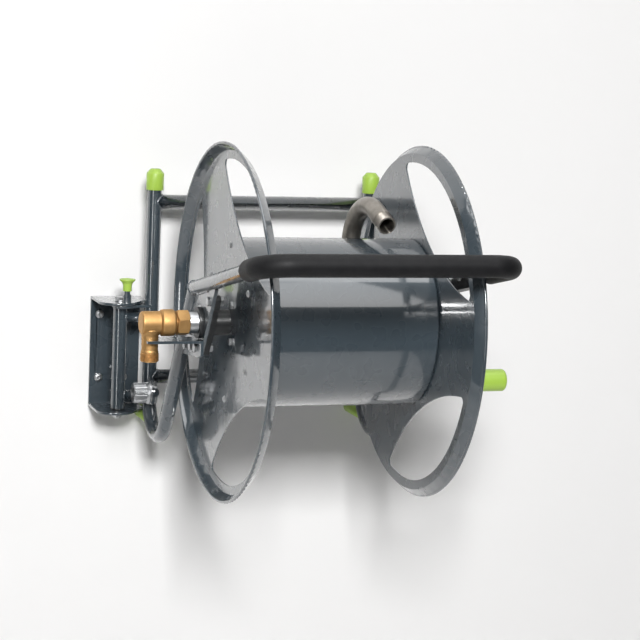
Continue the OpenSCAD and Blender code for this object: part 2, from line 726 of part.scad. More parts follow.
// Friction block under the right arm, held by two bolts through the arm
module on_right_arm() on_arms() translate([tube_x, 0, 0]) children();
module brake_block() color("#1d1f21") reel() on_right_arm() difference() {
    translate([-brake_out, -brake_from - brake_len, -brake_h/2]) cube([brake_out, brake_len, brake_h]);
    rotate([90, 0, 0]) cylinder(h = arm_len, r = tube_r);
    brake_bolt_places() x_cylinder(-brake_out - 1, 1, brake_bolt_r);
}
module brake_bolt_places() for (s = [-1, 1]) translate([0, -brake_from - brake_len/2 + s*brake_pitch/2, 0]) children();
module brake_bolts() color("#b9bcc0") reel() on_right_arm() brake_bolt_places() {
    x_cylinder(-brake_out, -tube_r + tube_wall/2, brake_bolt_r);
    x_cylinder(-brake_out - 3, -brake_out, brake_bolt_r + 2.6);
}

// Bracket flange: round at the front left, cut back at the right for the side tube
module flange_outline() {
    cx = flange_r - bracket_left;
    corner = [bracket_right - cx, 16.5];
    side = atan2(corner[1], corner[0]) - acos(flange_r/norm(corner));
    translate([cx, -pivot_off]) circle(r = flange_r);
    polygon([[-bracket_left, 0], [-bracket_left, -pivot_off], [cx, -pivot_off],
             [cx + flange_r*cos(side), -pivot_off + flange_r*sin(side)],
             [bracket_right, -pivot_off + corner[1]], [bracket_right, 0]]);
}
module wall_bracket() color("#59626a") difference() {
    union() {
        translate([-bracket_left, -bracket_t, -bracket_down])
            cube([bracket_left + bracket_right, bracket_t, bracket_up + bracket_down]);
        translate([0, 0, top_in]) linear_extrude(height = bracket_t) flange_outline();
        translate([0, 0, -bracket_down]) linear_extrude(height = bracket_t) flange_outline();
    }
    translate([0, -pivot_off, -bracket_down - 1]) cylinder(h = bracket_up + bracket_down + 2, r = pivot_r + 0.02);
    translate([pin_x, -pivot_off + pin_y, top_in - 1]) cylinder(h = bracket_t + 2, r = pin_r + pin_gap);
    wall_screw_places() rotate([90, 0, 0]) translate([0, 0, -1]) cylinder(h = bracket_t + 2, r = screw_r + screw_gap);
}
module wall_screw_places() for (sx = [-1, 1], sz = [-1, 1])
    translate([sx*screw_dx/2, 0, sz*screw_dz/2]) children();
module wall_screws() color("#b9bcc0") wall_screw_places() rotate([90, 0, 0]) {
    translate([0, 0, -screw_len]) cylinder(h = screw_len + bracket_t, r = screw_r);
    translate([0, 0, bracket_t]) difference() {
        intersection() {
            translate([0, 0, -5]) sphere(r = 9.3);
            cylinder(h = screw_head_h, r = screw_head_r);
        }
        translate([0, 0, 2]) cylinder(h = 5, r = 3, $fn = 6);
    }
}
module pivot_bolt() color("#b9bcc0") translate([0, -pivot_off, 0]) {
    translate([0, 0, -bracket_down - tail]) cylinder(h = bracket_down + bracket_up + tail, r = pivot_r);
    translate([0, 0, bracket_up]) cylinder(h = washer_t, r = head_r + 1.5);
    translate([0, 0, bracket_up + washer_t]) cylinder(h = head_h, r = head_r, $fn = 6);
}
module pivot_nut() color("#b9bcc0") translate([0, -pivot_off, -bracket_down - washer_t - head_h]) difference() {
    union() {
        cylinder(h = head_h, r = head_r, $fn = 6);
        translate([0, 0, head_h]) cylinder(h = washer_t, r = head_r + 1.5);
    }
    translate([0, 0, -1]) cylinder(h = head_h + washer_t + 2, r = pivot_r);
}
module pivot_tube() color("#40484f") translate([0, -pivot_off, pivot_tube_bottom]) difference() {
    cylinder(h = pivot_tube_top - pivot_tube_bottom, r = pivot_tube_r);
    translate([0, 0, -1]) cylinder(h = pivot_tube_top - pivot_tube_bottom + 2, r = bush_r);
}
module pivot_bushes() color("#1d1f21") translate([0, -pivot_off, 0]) difference() {
    union() {
        translate([0, 0, pivot_tube_top - bush_len]) cylinder(h = bush_len, r = bush_r);
        translate([0, 0, pivot_tube_bottom]) cylinder(h = bush_len, r = bush_r);
        translate([0, 0, pivot_tube_bottom - bush_collar]) cylinder(h = bush_collar, r = pivot_tube_r);
    }
    translate([0, 0, -big/2]) cylinder(h = big, r = pivot_r + pivot_gap);
}
module pivot_stubs() color("#40484f") difference() {
    for (z = [stub_up, stub_down]) translate([0, -pivot_off, z]) x_cylinder(0, pivot_arm, stub_r);
    translate([0, -pivot_off, -big/2]) cylinder(h = big, r = pivot_tube_r);
    reel() translate([-tube_x, 0, 0]) yz() side_path();
}
module index_plate() color("#59626a") translate([0, -pivot_off, index_top - index_t]) difference() {
    union() {
        cylinder(h = index_t, r = index_hub_r);
        difference() {
            cylinder(h = index_t, r = index_r);
            translate([-index_r - pivot_tube_r, -index_r, -1]) cube([index_r, 2*index_r, index_t + 2]);
        }
        translate([0, -12, 0]) cube([pivot_arm, 24, index_t]);
    }
    translate([-big/2, 14, -1]) cube([big, big, index_t + 2]);
    translate([0, 0, -1]) cylinder(h = index_t + 2, r = pivot_r + 1);
    translate([pivot_arm, 0, -1]) cylinder(h = index_t + 2, r = tube_r);
    for (k = [0:2]) rotate([0, 0, pin_dir + k*swing/2]) translate([pin_arm, 0, -1])
        cylinder(h = index_t + 2, r = pin_r + clear);
}
module at_pin() translate([pin_x, -pivot_off + pin_y, 0]) children();
module pin_sleeve() color("#59626a") at_pin() translate([0, 0, bracket_up]) difference() {
    union() {
        cylinder(h = sleeve_h, r = sleeve_r);
        cylinder(h = 3, r1 = sleeve_r + 0.5, r2 = sleeve_r);
    }
    translate([0, 0, -1]) cylinder(h = sleeve_h + 2, r = shank_r + pin_gap);
}
module lock_pin() color("#59626a") at_pin() {
    translate([0, 0, index_top + pin_rest])
        cylinder(h = bracket_up + pin_travel + 2*clear - index_top - pin_rest, r = pin_r);
    translate([0, 0, bracket_up + pin_travel + clear]) cylinder(h = sleeve_h + 6, r = shank_r);
}
module pin_knob() color("#8ccf35") at_pin() translate([0, 0, bracket_up + sleeve_h + pin_travel + clear])
    difference() {
        rotate_extrude() polygon([[0, 0], [knob_foot_r, 0], [knob_foot_r, 8], [knob_foot_r + 1.2, 12],
                                  [knob_r, knob_h - 2], [knob_r, knob_h - 0.6], [knob_r - 2, knob_h - 0.6],
                                  [knob_r - 4, knob_h - 1.8], [0, knob_h - 1.8]]);
        translate([0, 0, -1]) cylinder(h = 7, r = shank_r);
    }

wall_bracket();
wall_screws();
pivot_bolt();
pivot_nut();
pin_sleeve();
lock_pin();
pin_knob();
side_tube_left();
side_tube_right();
upper_crossbar();
lower_crossbar();
tube_caps();
wall_buffers();
handle_bow();
foam_grip();
pivot_tube();
pivot_bushes();
pivot_stubs();
index_plate();
axle_plate_left();
axle_plate_right();
bearing_left();
bearing_right();
bearing_bolts();
torque_bracket();
torque_bolts();
inlet_elbow();
inlet_collar();
parking_nipple();
nipple_holder();
brake_block();
brake_bolts();
drum_shell();
disc_left();
disc_right();
disc_rivets();
hub_left();
hub_right();
hub_bolts();
hollow_axle();
stub_axle();
retaining_ring();
union_nut();
inner_elbow();
gooseneck();
crank_arm();
crank_spindle();
crank_nut();
crank_grip();
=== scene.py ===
"""Looks of a wall-mounted hose reel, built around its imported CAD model."""

import json
import math

import bmesh
import bpy
from mathutils import Matrix, Vector

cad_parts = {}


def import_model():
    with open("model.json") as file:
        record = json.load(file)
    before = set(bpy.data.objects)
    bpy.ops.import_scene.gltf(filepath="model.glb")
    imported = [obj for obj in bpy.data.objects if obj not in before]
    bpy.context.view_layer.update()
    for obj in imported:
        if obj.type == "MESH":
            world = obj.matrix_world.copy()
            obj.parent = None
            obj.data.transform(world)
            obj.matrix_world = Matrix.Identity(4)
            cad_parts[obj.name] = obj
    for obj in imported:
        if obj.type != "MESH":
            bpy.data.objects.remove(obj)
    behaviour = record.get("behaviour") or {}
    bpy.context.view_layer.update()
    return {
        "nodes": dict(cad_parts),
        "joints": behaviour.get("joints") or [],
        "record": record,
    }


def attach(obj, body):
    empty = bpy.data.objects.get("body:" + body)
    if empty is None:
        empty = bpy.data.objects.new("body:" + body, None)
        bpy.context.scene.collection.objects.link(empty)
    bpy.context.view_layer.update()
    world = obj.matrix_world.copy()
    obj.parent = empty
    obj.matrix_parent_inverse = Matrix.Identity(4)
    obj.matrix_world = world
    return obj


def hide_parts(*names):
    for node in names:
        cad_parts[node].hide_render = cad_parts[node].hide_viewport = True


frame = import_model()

MM = 0.001

# Where the photograph was taken from: degrees, pixels and metres
CAMERA_AZIMUTH = 18.764
CAMERA_ELEVATION = 7.954
CAMERA_ROLL = 2.397
CAMERA_DISTANCE = 2.8601
FOCAL_PIXELS = 2019.2
FRAME_PIXELS = 640
SENSOR_MM = 36.0
AIM = (-0.6, 0.0, 2.6)

# Sizes of the CAD source that the added pieces are set by, in millimetres and degrees:
# the tube frame, the handle and its foam
TUBE_R = 10.75
TUBE_X = 173.5
REAR_Y = 293.5
CROSSBARS = (142.0, -127.0)
KNEE = (40.5, 43.0)
LIMB_ANGLE = 57.0
ARM_ANGLE = 12.2
ARM_LEN = 336.0
HANDLE_BEND_R = 38.0
FOAM_R = 15.0
FOAM_LEFT = 262.0
FOAM_RIGHT = 232.0
PIVOT_X = -222.0
PIVOT_TUBE_R = 10.5
STUB_R = 7.5
STUBS_UP = (-35.0, -155.0)

# The water's way in: elbow, spigot and union nut
SPIGOT_R = 12.6
ELBOW_X = -247.0
ELBOW_LEFT = -261.0
ELBOW_BODY_R = 16.2
ELBOW_LEG_R = 11.8
ELBOW_BORE_R = 9.0
COLLAR_LEFT = -234.0
AXLE_END = -203.0
THREAD_TOP = -41.0
INLET_R = 13.2
INLET_LEN = 13.0
NUT_LEFT = -211.0
NUT_RIGHT = -193.5
NUT_R = 18.5
NUT_TURN = 73.0

# The water's way out: the bent outlet pipe
PIPE_R = 13.45
PIPE_BEND_R = 64.0
PIPE_END_ANGLE = 22.0
OUTLET = (65.0, 70.0, 100.5)
OUTLET_HEADING = 3.0
OUTLET_STRAIGHT = 45.0
OUTLET_THREAD = 18.0
THREAD_PITCH = 1.814


def joint(name):
    return next(j for j in frame["joints"] if j["name"] == name)


AXLE = Vector(joint("drum_spin")["pos_m"])


def at(x, y, z):
    """A point given in millimetres from the middle of the drum's axle, in the row frame."""
    return AXLE + Vector((x, y, z)) * MM


# Meshes

MERGE_M = 1e-7
TURN_STEPS = 96
HEX_SIDE_STEPS = 12
AXIS_R = 0.01


def linked(name, data):
    """A new object in the scene."""
    obj = bpy.data.objects.new(name, data)
    bpy.context.scene.collection.objects.link(obj)
    return obj


def mesh_object(name, verts, faces, sharp=35.0):
    """A smooth-shaded mesh object that keeps its hard edges sharp."""
    mesh = bpy.data.meshes.new(name)
    mesh.from_pydata([tuple(v) for v in verts], [], faces)
    bm = bmesh.new()
    bm.from_mesh(mesh)
    bmesh.ops.remove_doubles(bm, verts=bm.verts, dist=MERGE_M)
    bmesh.ops.recalc_face_normals(bm, faces=bm.faces)
    bm.to_mesh(mesh)
    bm.free()
    mesh.shade_smooth()
    mesh.set_sharp_from_angle(angle=math.radians(sharp))
    return linked(name, mesh)


def grid_faces(rows, columns, close_rows=False, close_columns=True):
    """Quads between the points of a grid kept row after row."""
    faces = []
    for i in range(rows if close_rows else rows - 1):
        for j in range(columns if close_columns else columns - 1):
            a, b = i % rows, (i + 1) % rows
            c, d = j % columns, (j + 1) % columns
            faces.append((a * columns + c, a * columns + d, b * columns + d, b * columns + c))
    return faces


def ring(radius, height, steps):
    """Points of a level circle round Z, given in millimetres."""
    turns = [2 * math.pi * k / steps for k in range(steps)]
    return [Vector((radius * math.cos(a), radius * math.sin(a), height)) * MM for a in turns]


def lathe(name, profile, place, sharp=35.0):
    """Turns (radius, height) pairs in millimetres round Z and places the result."""
    verts = [place @ p for radius, height in profile for p in ring(radius, height, TURN_STEPS)]
    return mesh_object(name, verts, grid_faces(len(profile), TURN_STEPS), sharp)


def turned_hex(name, corner_r, bore_r, length, chamfer, place):
    """A hexagon bar with a bore and with both ends turned down to a cone."""
    flat = corner_r * math.cos(math.pi / 6)
    steps = 6 * HEX_SIDE_STEPS
    # At each end the cone is a little narrower than the flats
    cone = (corner_r - flat) * 1.15
    levels = [0, 0.15, 0.3, 0.5, 0.75, 1.0]
    heights = [chamfer * v for v in levels] + [length - chamfer * v for v in reversed(levels)]

    def hex_ring(height):
        limit = corner_r - cone * (1 - min(height, length - height, chamfer) / chamfer)
        points = []
        for k in range(steps):
            a = 2 * math.pi * k / steps
            off = (a + math.pi / 6) % (math.pi / 3) - math.pi / 6
            radius = min(flat / math.cos(abs(off) - math.pi / 6), limit)
            points.append(Vector((radius * math.cos(a), radius * math.sin(a), height)) * MM)
        return points

    rings = [ring(bore_r, 0, steps)]
    rings += [hex_ring(height) for height in heights]
    rings.append(ring(bore_r, length, steps))
    verts = [place @ p for points in rings for p in points]
    return mesh_object(name, verts, grid_faces(len(rings), steps, close_rows=True), 20.0)


def along(direction, origin):
    """A matrix that turns Z to a direction and moves to an origin."""
    turn = Vector(direction).normalized().to_track_quat("Z", "Y").to_matrix().to_4x4()
    return Matrix.Translation(origin) @ turn


def sweep(name, points, radii, steps=16, closed=False, sharp=60.0):
    """A round bar along points in metres, with a radius in millimetres at each."""
    up = Vector((0, 0, 1))
    n = len(points)
    verts = []
    normal = None
    for i, p in enumerate(points):
        before = points[i - 1] if i > 0 or closed else p
        after = points[(i + 1) % n] if i < n - 1 or closed else p
        tangent = (after - before).normalized()
        if normal is None:
            normal = up - tangent * up.dot(tangent)
            if normal.length < 0.1:
                normal = Vector((1, 0, 0)) - tangent * tangent.x
        normal = (normal - tangent * normal.dot(tangent)).normalized()
        side = tangent.cross(normal)
        for k in range(steps):
            a = 2 * math.pi * k / steps
            verts.append(p + (normal * math.cos(a) + side * math.sin(a)) * radii[i] * MM)
    faces = grid_faces(n, steps, close_rows=closed)
    if not closed:
        faces.append(tuple(range(steps)))
        faces.append(tuple((n - 1) * steps + k for k in range(steps)))
    return mesh_object(name, verts, faces, sharp)


def join(name, parts):
    """Joins several mesh objects into one."""
    bm = bmesh.new()
    for part in parts:
        bm.from_mesh(part.data)
        bpy.data.objects.remove(part)
    mesh = bpy.data.meshes.new(name)
    bm.to_mesh(mesh)
    bm.free()
    return linked(name, mesh)


def applied(obj):
    """The object with its modifiers baked into its mesh."""
    evaluated = obj.evaluated_get(bpy.context.evaluated_depsgraph_get())
    obj.data = bpy.data.meshes.new_from_object(evaluated)
    obj.modifiers.clear()
    return obj


# Materials

NOISE_LOW = 0.3
NOISE_HIGH = 0.7


class Nodes:
    """A node tree and short calls that add nodes to it."""

    def __init__(self, tree):
        self.tree = tree

    def node(self, kind, links=None, **settings):
        made = self.tree.nodes.new(kind)
        for key, value in settings.items():
            setattr(made, key, value)
        for socket, source in (links or {}).items():
            self.plug(source, made.inputs[socket])
        return made

    def plug(self, source, socket):
        """Links another node's output to a socket, or sets the socket's own value."""
        if hasattr(source, "links"):
            self.tree.links.new(source, socket)
        else:
            socket.default_value = source

    def math(self, operation, a, b):
        return self.node("ShaderNodeMath", {0: a, 1: b}, operation=operation).outputs[0]

    def ramp(self, source, stops):
        """A colour ramp over (position, colour) stops."""
        made = self.node("ShaderNodeValToRGB", {"Fac": source})
        elements = made.color_ramp.elements
        for i, (position, colour) in enumerate(stops):
            element = elements[i] if i < 2 else elements.new(position)
            element.position = position
            element.color = (*colour, 1.0)
        return made.outputs["Color"]


class Shader(Nodes):
    """A Principled material, patterned in the object's own coordinates."""

    def __init__(self, name, roughness, metallic=0.0, **sockets):
        self.material = bpy.data.materials.new(name)
        self.material.use_nodes = True
        super().__init__(self.material.node_tree)
        self.bsdf = self.tree.nodes["Principled BSDF"]
        self.bsdf.inputs["Roughness"].default_value = roughness
        self.bsdf.inputs["Metallic"].default_value = metallic
        for socket, value in sockets.items():
            self.bsdf.inputs[socket.replace("_", " ")].default_value = value
        self.place = self.node("ShaderNodeTexCoord").outputs["Object"]
        self.normal = None

    def noise(self, scale, detail=3.0, roughness=0.55):
        return self.node(
            "ShaderNodeTexNoise",
            {"Vector": self.place, "Scale": scale, "Detail": detail, "Roughness": roughness},
        ).outputs["Fac"]

    def shades(self, source, dark, light):
        """A colour that runs from dark to light with a noise."""
        return self.ramp(source, ((NOISE_LOW, dark), (NOISE_HIGH, light)))

    def remap(self, source, low, high):
        """A value that runs from low to high with a noise."""
        ends = {"From Min": NOISE_LOW, "From Max": NOISE_HIGH, "To Min": low, "To Max": high}
        return self.node("ShaderNodeMapRange", {"Value": source, **ends}).outputs["Result"]

    def tint(self, factor, base, colour):
        """A base colour with some of a plain colour mixed in."""
        made = self.node("ShaderNodeMix", data_type="RGBA")
        self.plug(factor, made.inputs[0])
        self.plug(base, made.inputs[6])
        self.plug((*colour, 1.0), made.inputs[7])
        return made.outputs[2]

    def colour(self, source):
        self.plug(source, self.bsdf.inputs["Base Color"])

    def roughness(self, source):
        self.plug(source, self.bsdf.inputs["Roughness"])

    def bump(self, height, distance_mm, strength):
        """Adds relief over any that the material has."""
        links = {"Height": height, "Distance": distance_mm * MM, "Strength": strength}
        if self.normal is not None:
            links["Normal"] = self.normal
        self.normal = self.node("ShaderNodeBump", links).outputs["Normal"]
        self.plug(self.normal, self.bsdf.inputs["Normal"])


def paint():
    s = Shader(
        "anthracite_paint", 0.3, Coat_Weight=1.0, Coat_Roughness=0.07, Coat_IOR=1.75, IOR=1.5
    )
    s.colour(s.shades(s.noise(7.0, 2.0), (0.040, 0.054, 0.065), (0.044, 0.059, 0.071)))
    s.roughness(s.remap(s.noise(40.0, 1.0), 0.26, 0.3))
    s.bump(s.noise(12.0, 1.0), 0.003, 0.04)
    return s.material


def lime():
    s = Shader("lime_plastic", 0.35, Coat_Weight=0.15, Coat_Roughness=0.2)
    s.colour(s.shades(s.noise(30.0, 2.0), (0.36, 0.555, 0.075), (0.39, 0.59, 0.085)))
    s.roughness(s.remap(s.noise(240.0), 0.3, 0.42))
    s.bump(s.noise(1500.0, 3.0), 0.02, 0.25)
    return s.material


def black_plastic():
    s = Shader("black_plastic", 0.42)
    s.colour(s.shades(s.noise(40.0), (0.010, 0.011, 0.012), (0.014, 0.015, 0.016)))
    s.roughness(s.remap(s.noise(300.0), 0.34, 0.48))
    s.bump(s.noise(1800.0, 2.0), 0.015, 0.3)
    return s.material


def foam():
    s = Shader("foam", 0.55, Specular_IOR_Level=0.2)
    s.colour(s.shades(s.noise(60.0), (0.007, 0.007, 0.008), (0.011, 0.011, 0.012)))
    s.roughness(s.remap(s.noise(400.0), 0.48, 0.6))
    cells = s.node("ShaderNodeTexVoronoi", {"Vector": s.place, "Scale": 1300.0})
    s.bump(cells.outputs["Distance"], 0.02, 0.2)
    s.bump(s.noise(60.0, 2.0), 0.1, 0.2)
    return s.material


def zinc():
    s = Shader("zinc", 0.34, metallic=1.0)
    s.colour(s.shades(s.noise(160.0), (0.44, 0.45, 0.46), (0.52, 0.53, 0.54)))
    s.roughness(s.remap(s.noise(60.0), 0.3, 0.4))
    s.bump(s.noise(300.0), 0.003, 0.1)
    return s.material


def raw_steel():
    s = Shader("raw_steel", 0.36, metallic=1.0)
    base = s.shades(s.noise(45.0, 4.0, 0.6), (0.27, 0.25, 0.225), (0.40, 0.375, 0.34))
    s.colour(s.tint(s.remap(s.noise(700.0, 3.0), 0.0, 0.3), base, (0.22, 0.19, 0.155)))
    s.roughness(s.remap(s.noise(120.0), 0.3, 0.46))
    s.bump(s.noise(900.0, 4.0), 0.012, 0.4)
    return s.material


def brass():
    s = Shader("brass", 0.54, metallic=1.0)
    s.colour(s.shades(s.noise(60.0, 3.0), (0.47, 0.275, 0.11), (0.55, 0.335, 0.14)))
    s.roughness(s.remap(s.noise(350.0), 0.48, 0.6))
    s.bump(s.noise(1100.0, 3.0), 0.035, 0.6)
    return s.material


MATERIALS = {
    "anthracite_paint": paint(),
    "green_plastic": lime(),
    "black_plastic": black_plastic(),
    "foam": foam(),
    "zinc": zinc(),
    "raw_steel": raw_steel(),
    "brass": brass(),
}


def dress(obj, slot_name):
    """Gives a piece its material."""
    obj.data.materials.clear()
    obj.data.materials.append(MATERIALS[slot_name])
    for polygon in obj.data.polygons:
        polygon.material_index = 0
    return obj


def add(obj, body, slot_name, *nodes):
    """Sets an added piece on its body, in place of the CAD nodes that it stands for."""
    dress(obj, slot_name)
    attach(obj, body)
    if nodes:
        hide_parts(*nodes)
    return obj


# CAD nodes: a material each, and an edge break where sheet and castings have one

SEAM_MERGE_M = 2e-6
EDGE_ANGLE = 26.0
EDGE_BREAK_MM = {
    "wall_bracket": 0.7, "index_plate": 0.5, "axle_plate_left": 0.6, "axle_plate_right": 0.6,
    "torque_bracket": 0.6, "disc_left": 0.35, "disc_right": 0.35, "drum_shell": 0.3,
    "hub_left": 0.9, "hub_right": 0.9, "bearing_left": 0.8, "bearing_right": 0.8,
    "bearing_bolts": 0.4, "torque_bolts": 0.4, "hub_bolts": 0.5, "brake_bolts": 0.4,
    "pivot_bolt": 0.5, "pivot_nut": 0.5, "brake_block": 2.0, "tube_caps": 0.8,
    "pin_knob": 0.5, "crank_grip": 0.5, "inlet_collar": 0.5, "wall_screws": 0.4,
    "wall_buffers": 0.4, "crank_nut": 0.4, "crank_spindle": 0.3, "hollow_axle": 0.4,
    "stub_axle": 0.4, "inner_elbow": 0.8, "parking_nipple": 0.3,
    "nipple_holder": 0.6, "crank_arm": 0.6,
}

for row in frame["record"]["subparts"]:
    node = frame["nodes"][row["node"]]
    dress(node, row["material_slot"])
    node.modifiers.new("weld", "WELD").merge_threshold = SEAM_MERGE_M
    if row["node"] in EDGE_BREAK_MM:
        bevel = node.modifiers.new("edge", "BEVEL")
        bevel.width = EDGE_BREAK_MM[row["node"]] * MM
        bevel.segments = 2
        bevel.limit_method = "ANGLE"
        bevel.angle_limit = math.radians(EDGE_ANGLE)
        bevel.harden_normals = True
        bevel.use_clamp_overlap = True

# Foam sleeve on the handle

PATH_STEP = 3.0
BEND_STEPS = 24
FOAM_END = 9.0
FOAM_END_STEPS = 10
FOAM_LIP = 0.4


def arm_point(x, y):
    """A point of the handle bow's plane: x across, y along the arms, which rise forwards."""
    rise = math.radians(ARM_ANGLE)
    return at(x, KNEE[0] + y * math.cos(rise), KNEE[1] - y * math.sin(rise))


def bow_points():
    """The handle's centreline from one end of the foam to the other, every few millimetres."""
    points = []
    straight = ARM_LEN - HANDLE_BEND_R
    middle = TUBE_X - HANDLE_BEND_R

    def bend(centre_x, first):
        for k in range(BEND_STEPS + 1):
            a = math.radians(first + 90 * k / BEND_STEPS)
            x = centre_x + HANDLE_BEND_R * math.cos(a)
            points.append(arm_point(x, -straight + HANDLE_BEND_R * math.sin(a)))

    for k in range(int((straight - FOAM_LEFT) / PATH_STEP) + 1):
        points.append(arm_point(-TUBE_X, -FOAM_LEFT - k * PATH_STEP))
    bend(-middle, 180)
    for k in range(1, int(2 * middle / PATH_STEP)):
        points.append(arm_point(-middle + k * PATH_STEP, -ARM_LEN))
    bend(middle, 270)
    for k in range(1, int((straight - FOAM_RIGHT) / PATH_STEP) + 1):
        points.append(arm_point(TUBE_X, -straight + k * PATH_STEP))
    points.append(arm_point(TUBE_X, -FOAM_RIGHT))
    return points


def foam_sleeve():
    """A soft sleeve that swells from the tube in a round shoulder at each end."""
    path = bow_points()
    run = [0.0]
    for a, b in zip(path, path[1:]):
        run.append(run[-1] + (b - a).length / MM)
    total = run[-1]
    points, radii = [], []

    def place(s):
        i = next((k for k in range(1, len(run)) if run[k] >= s), len(run) - 1)
        t = (s - run[i - 1]) / max(1e-6, run[i] - run[i - 1])
        return path[i - 1].lerp(path[i], t)

    turns = [math.pi / 2 * k / FOAM_END_STEPS for k in range(FOAM_END_STEPS + 1)]
    marks = [FOAM_END * (1 - math.cos(turn)) for turn in turns]
    inner = [s for s in run if FOAM_END < s < total - FOAM_END]
    for s in marks + inner + [total - m for m in reversed(marks)]:
        depth = min(s, total - s, FOAM_END) / FOAM_END
        rounding = math.sqrt(max(0.0, 1 - (1 - depth) ** 2))
        radii.append(TUBE_R + FOAM_LIP + (FOAM_R - TUBE_R - FOAM_LIP) * rounding)
        points.append(place(s))
    return sweep("foam_sleeve", points, radii, steps=64, sharp=70.0)


add(foam_sleeve(), "frame", "foam", "foam_grip")

# Welds: sizes in millimetres

LINE_STEPS = 72
CROSSBAR_WELD_R = 1.7
STUB_WELD_R = 1.8
KNEE_WELD_R = 1.1
PLATE_WELD_R = 1.5
PLATE_HALF = 2.0
PLATE_WELD_OUT = 2.6
PLATE_WELD_STEP = 1.2
LIMB_SEAM = (14, 84)
ARM_SEAM = (16, 78)
SWELL = 0.11
SWELL_STEP = 3.0
BEAD_END = 0.45
BEAD_GROWTH = 0.2

# Along the arm and the limb from their knee, and square to each on the plate's side
ARM_RISE = math.radians(ARM_ANGLE)
LIMB_FALL = math.radians(LIMB_ANGLE)
ARM_DIR = Vector((0, -math.cos(ARM_RISE), math.sin(ARM_RISE)))
ARM_UNDER = Vector((0, -math.sin(ARM_RISE), -math.cos(ARM_RISE)))
LIMB_DIR = Vector((0, math.cos(LIMB_FALL), -math.sin(LIMB_FALL)))
LIMB_FRONT = Vector((0, -math.sin(LIMB_FALL), -math.cos(LIMB_FALL)))


def bead(name, points, radius, closed=True):
    """A weld bead: a bar with the small even swells of a stitched weld."""
    length = 0.0
    radii = []
    last = len(points) - 1
    for i, p in enumerate(points):
        length += (p - points[i - 1]).length / MM if i else 0.0
        swell = SWELL * math.cos(2 * math.pi * length / SWELL_STEP)
        ends = 1.0 if closed else min(1.0, BEAD_END + BEAD_GROWTH * min(i, last - i))
        radii.append(radius * (1 + swell) * ends)
    return sweep(name, points, radii, steps=12, closed=closed, sharp=80.0)


def saddle(centre, into, bar_r, post_r):
    """The line where a bar along X meets an upright post, on the side the bar comes from."""
    points = []
    for k in range(LINE_STEPS):
        a = 2 * math.pi * k / LINE_STEPS
        across = bar_r * math.cos(a)
        depth = math.sqrt(max(0.0, post_r ** 2 - across ** 2))
        up = centre[2] + bar_r * math.sin(a)
        points.append(at(centre[0] + into * depth, centre[1] + across, up))
    return points


def mitre_line(side):
    """The line where a handle arm meets its oblique limb."""
    plane = (ARM_DIR - LIMB_DIR).normalized()
    out = Vector((1, 0, 0))
    over = ARM_DIR.cross(out)
    points = []
    for k in range(LINE_STEPS):
        a = 2 * math.pi * k / LINE_STEPS
        spoke = (out * math.cos(a) + over * math.sin(a)) * (TUBE_R + 0.1)
        slide = -spoke.dot(plane) / ARM_DIR.dot(plane)
        points.append(at(side * TUBE_X, *KNEE) + (spoke + ARM_DIR * slide) * MM)
    return points


def plate_seams(side, face):
    """The lines where one face of a gusset plate meets the limb and the arm."""
    reach = math.sqrt(TUBE_R ** 2 - PLATE_HALF ** 2)
    knee = at(side * (TUBE_X + face * PLATE_WELD_OUT), *KNEE)
    seams = []
    for direction, off, span in ((LIMB_DIR, LIMB_FRONT, LIMB_SEAM), (ARM_DIR, ARM_UNDER, ARM_SEAM)):
        first, last = span
        runs = [first + PLATE_WELD_STEP * k for k in range(int((last - first) / PLATE_WELD_STEP))]
        seams.append([knee + (direction * run + off * reach) * MM for run in runs])
    return seams


welds = []
for side in (-1, 1):
    for up in CROSSBARS:
        line = saddle((side * TUBE_X, REAR_Y, up), -side, TUBE_R, TUBE_R + 0.2)
        welds.append(bead(f"weld_crossbar_{len(welds)}", line, CROSSBAR_WELD_R))
for up in STUBS_UP:
    line = saddle((PIVOT_X, REAR_Y, up), 1, STUB_R, PIVOT_TUBE_R)
    welds.append(bead(f"weld_stub_{len(welds)}", line, STUB_WELD_R))
    line = saddle((-TUBE_X, REAR_Y, up), -1, STUB_R, TUBE_R)
    welds.append(bead(f"weld_stub_{len(welds)}", line, STUB_WELD_R))
for side in (-1, 1):
    welds.append(bead(f"weld_knee_{len(welds)}", mitre_line(side), KNEE_WELD_R))
for side in (-1, 1):
    for face in (-1, 1):
        for seam in plate_seams(side, face):
            welds.append(bead(f"weld_plate_{len(welds)}", seam, PLATE_WELD_R, closed=False))
add(join("frame_welds", welds), "frame", "anthracite_paint")

# Brass inlet: a cast elbow, its male thread and the union nut, in millimetres

ALONG_X = Matrix.Translation(AXLE) @ Matrix.Rotation(math.radians(90), 4, "Y")
DOWN_LEG = Matrix.Translation(at(ELBOW_X, 0, 0))
CAST_ROUND = 3.2
FILLET_STEPS = 8
CAST_VOXEL = 0.45
INLET_DEPTH = 1.0
OUTLET_DEPTH = 0.9
LEAD_IN = 0.6
CREST_CUT = 0.05
NUT_CHAMFER = 2.2


def fillet(radius, start, end, centre_r, centre_h):
    """Points of an arc of a turned profile, angles in degrees from outwards to along the axis."""
    points = []
    for k in range(FILLET_STEPS + 1):
        a = math.radians(start + (end - start) * k / FILLET_STEPS)
        points.append((centre_r + radius * math.cos(a), centre_h + radius * math.sin(a)))
    return points


